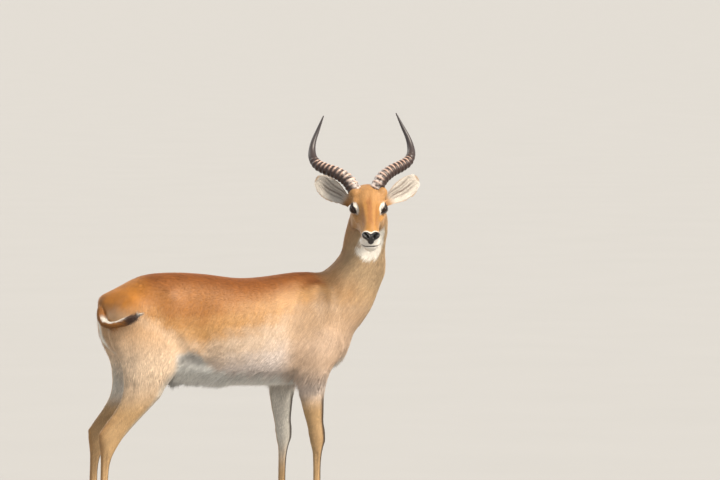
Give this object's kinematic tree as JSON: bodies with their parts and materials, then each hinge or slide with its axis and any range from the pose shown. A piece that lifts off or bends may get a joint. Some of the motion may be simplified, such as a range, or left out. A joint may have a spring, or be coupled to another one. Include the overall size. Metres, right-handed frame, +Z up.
{
  "type": "uganda kob antelope",
  "caption": "Life-size still model of a male Uganda kob antelope standing on four hooves, head turned to its right, with ringed horns.",
  "frame": {"origin": "on the ground, under the middle of the whole animal's bounding box", "axes": "+X the way the body faces, +Y the animal's left side, +Z up"},
  "size_m": [1.1855, 0.4874, 1.5052],
  "materials": {
    "coat": "short smooth hair, orange-fawn above, paler below, white belly and throat",
    "ear_coat": "white hair inside, fawn hair behind",
    "horn": "ringed dark horn, satin",
    "hoof": "dark horn, satin",
    "eye": "polished dark brown",
    "nose_leather": "moist black pebbled skin"
  },
  "bodies": {
    "root": {"dewclaw_inner_fore_L": "hoof", "dewclaw_inner_fore_R": "hoof", "dewclaw_inner_hind_L": "hoof", "dewclaw_inner_hind_R": "hoof", "dewclaw_outer_fore_L": "hoof", "dewclaw_outer_fore_R": "hoof", "dewclaw_outer_hind_L": "hoof", "dewclaw_outer_hind_R": "hoof", "ear_L": "ear_coat", "ear_R": "ear_coat", "eye_L": "eye", "eye_R": "eye", "foreleg_cannon_L": "coat", "foreleg_cannon_R": "coat", "foreleg_forearm_L": "coat", "foreleg_forearm_R": "coat", "foreleg_pastern_L": "coat", "foreleg_pastern_R": "coat", "head": "coat", "hindleg_cannon_L": "coat", "hindleg_cannon_R": "coat", "hindleg_gaskin_L": "coat", "hindleg_gaskin_R": "coat", "hindleg_pastern_L": "coat", "hindleg_pastern_R": "coat", "hindleg_thigh_L": "coat", "hindleg_thigh_R": "coat", "hoof_inner_fore_L": "hoof", "hoof_inner_fore_R": "hoof", "hoof_inner_hind_L": "hoof", "hoof_inner_hind_R": "hoof", "hoof_outer_fore_L": "hoof", "hoof_outer_fore_R": "hoof", "hoof_outer_hind_L": "hoof", "hoof_outer_hind_R": "hoof", "horn_L": "horn", "horn_R": "horn", "neck": "coat", "nose_pad": "nose_leather", "tail": "coat", "trunk": "coat"}
  },
  "joints": []
}
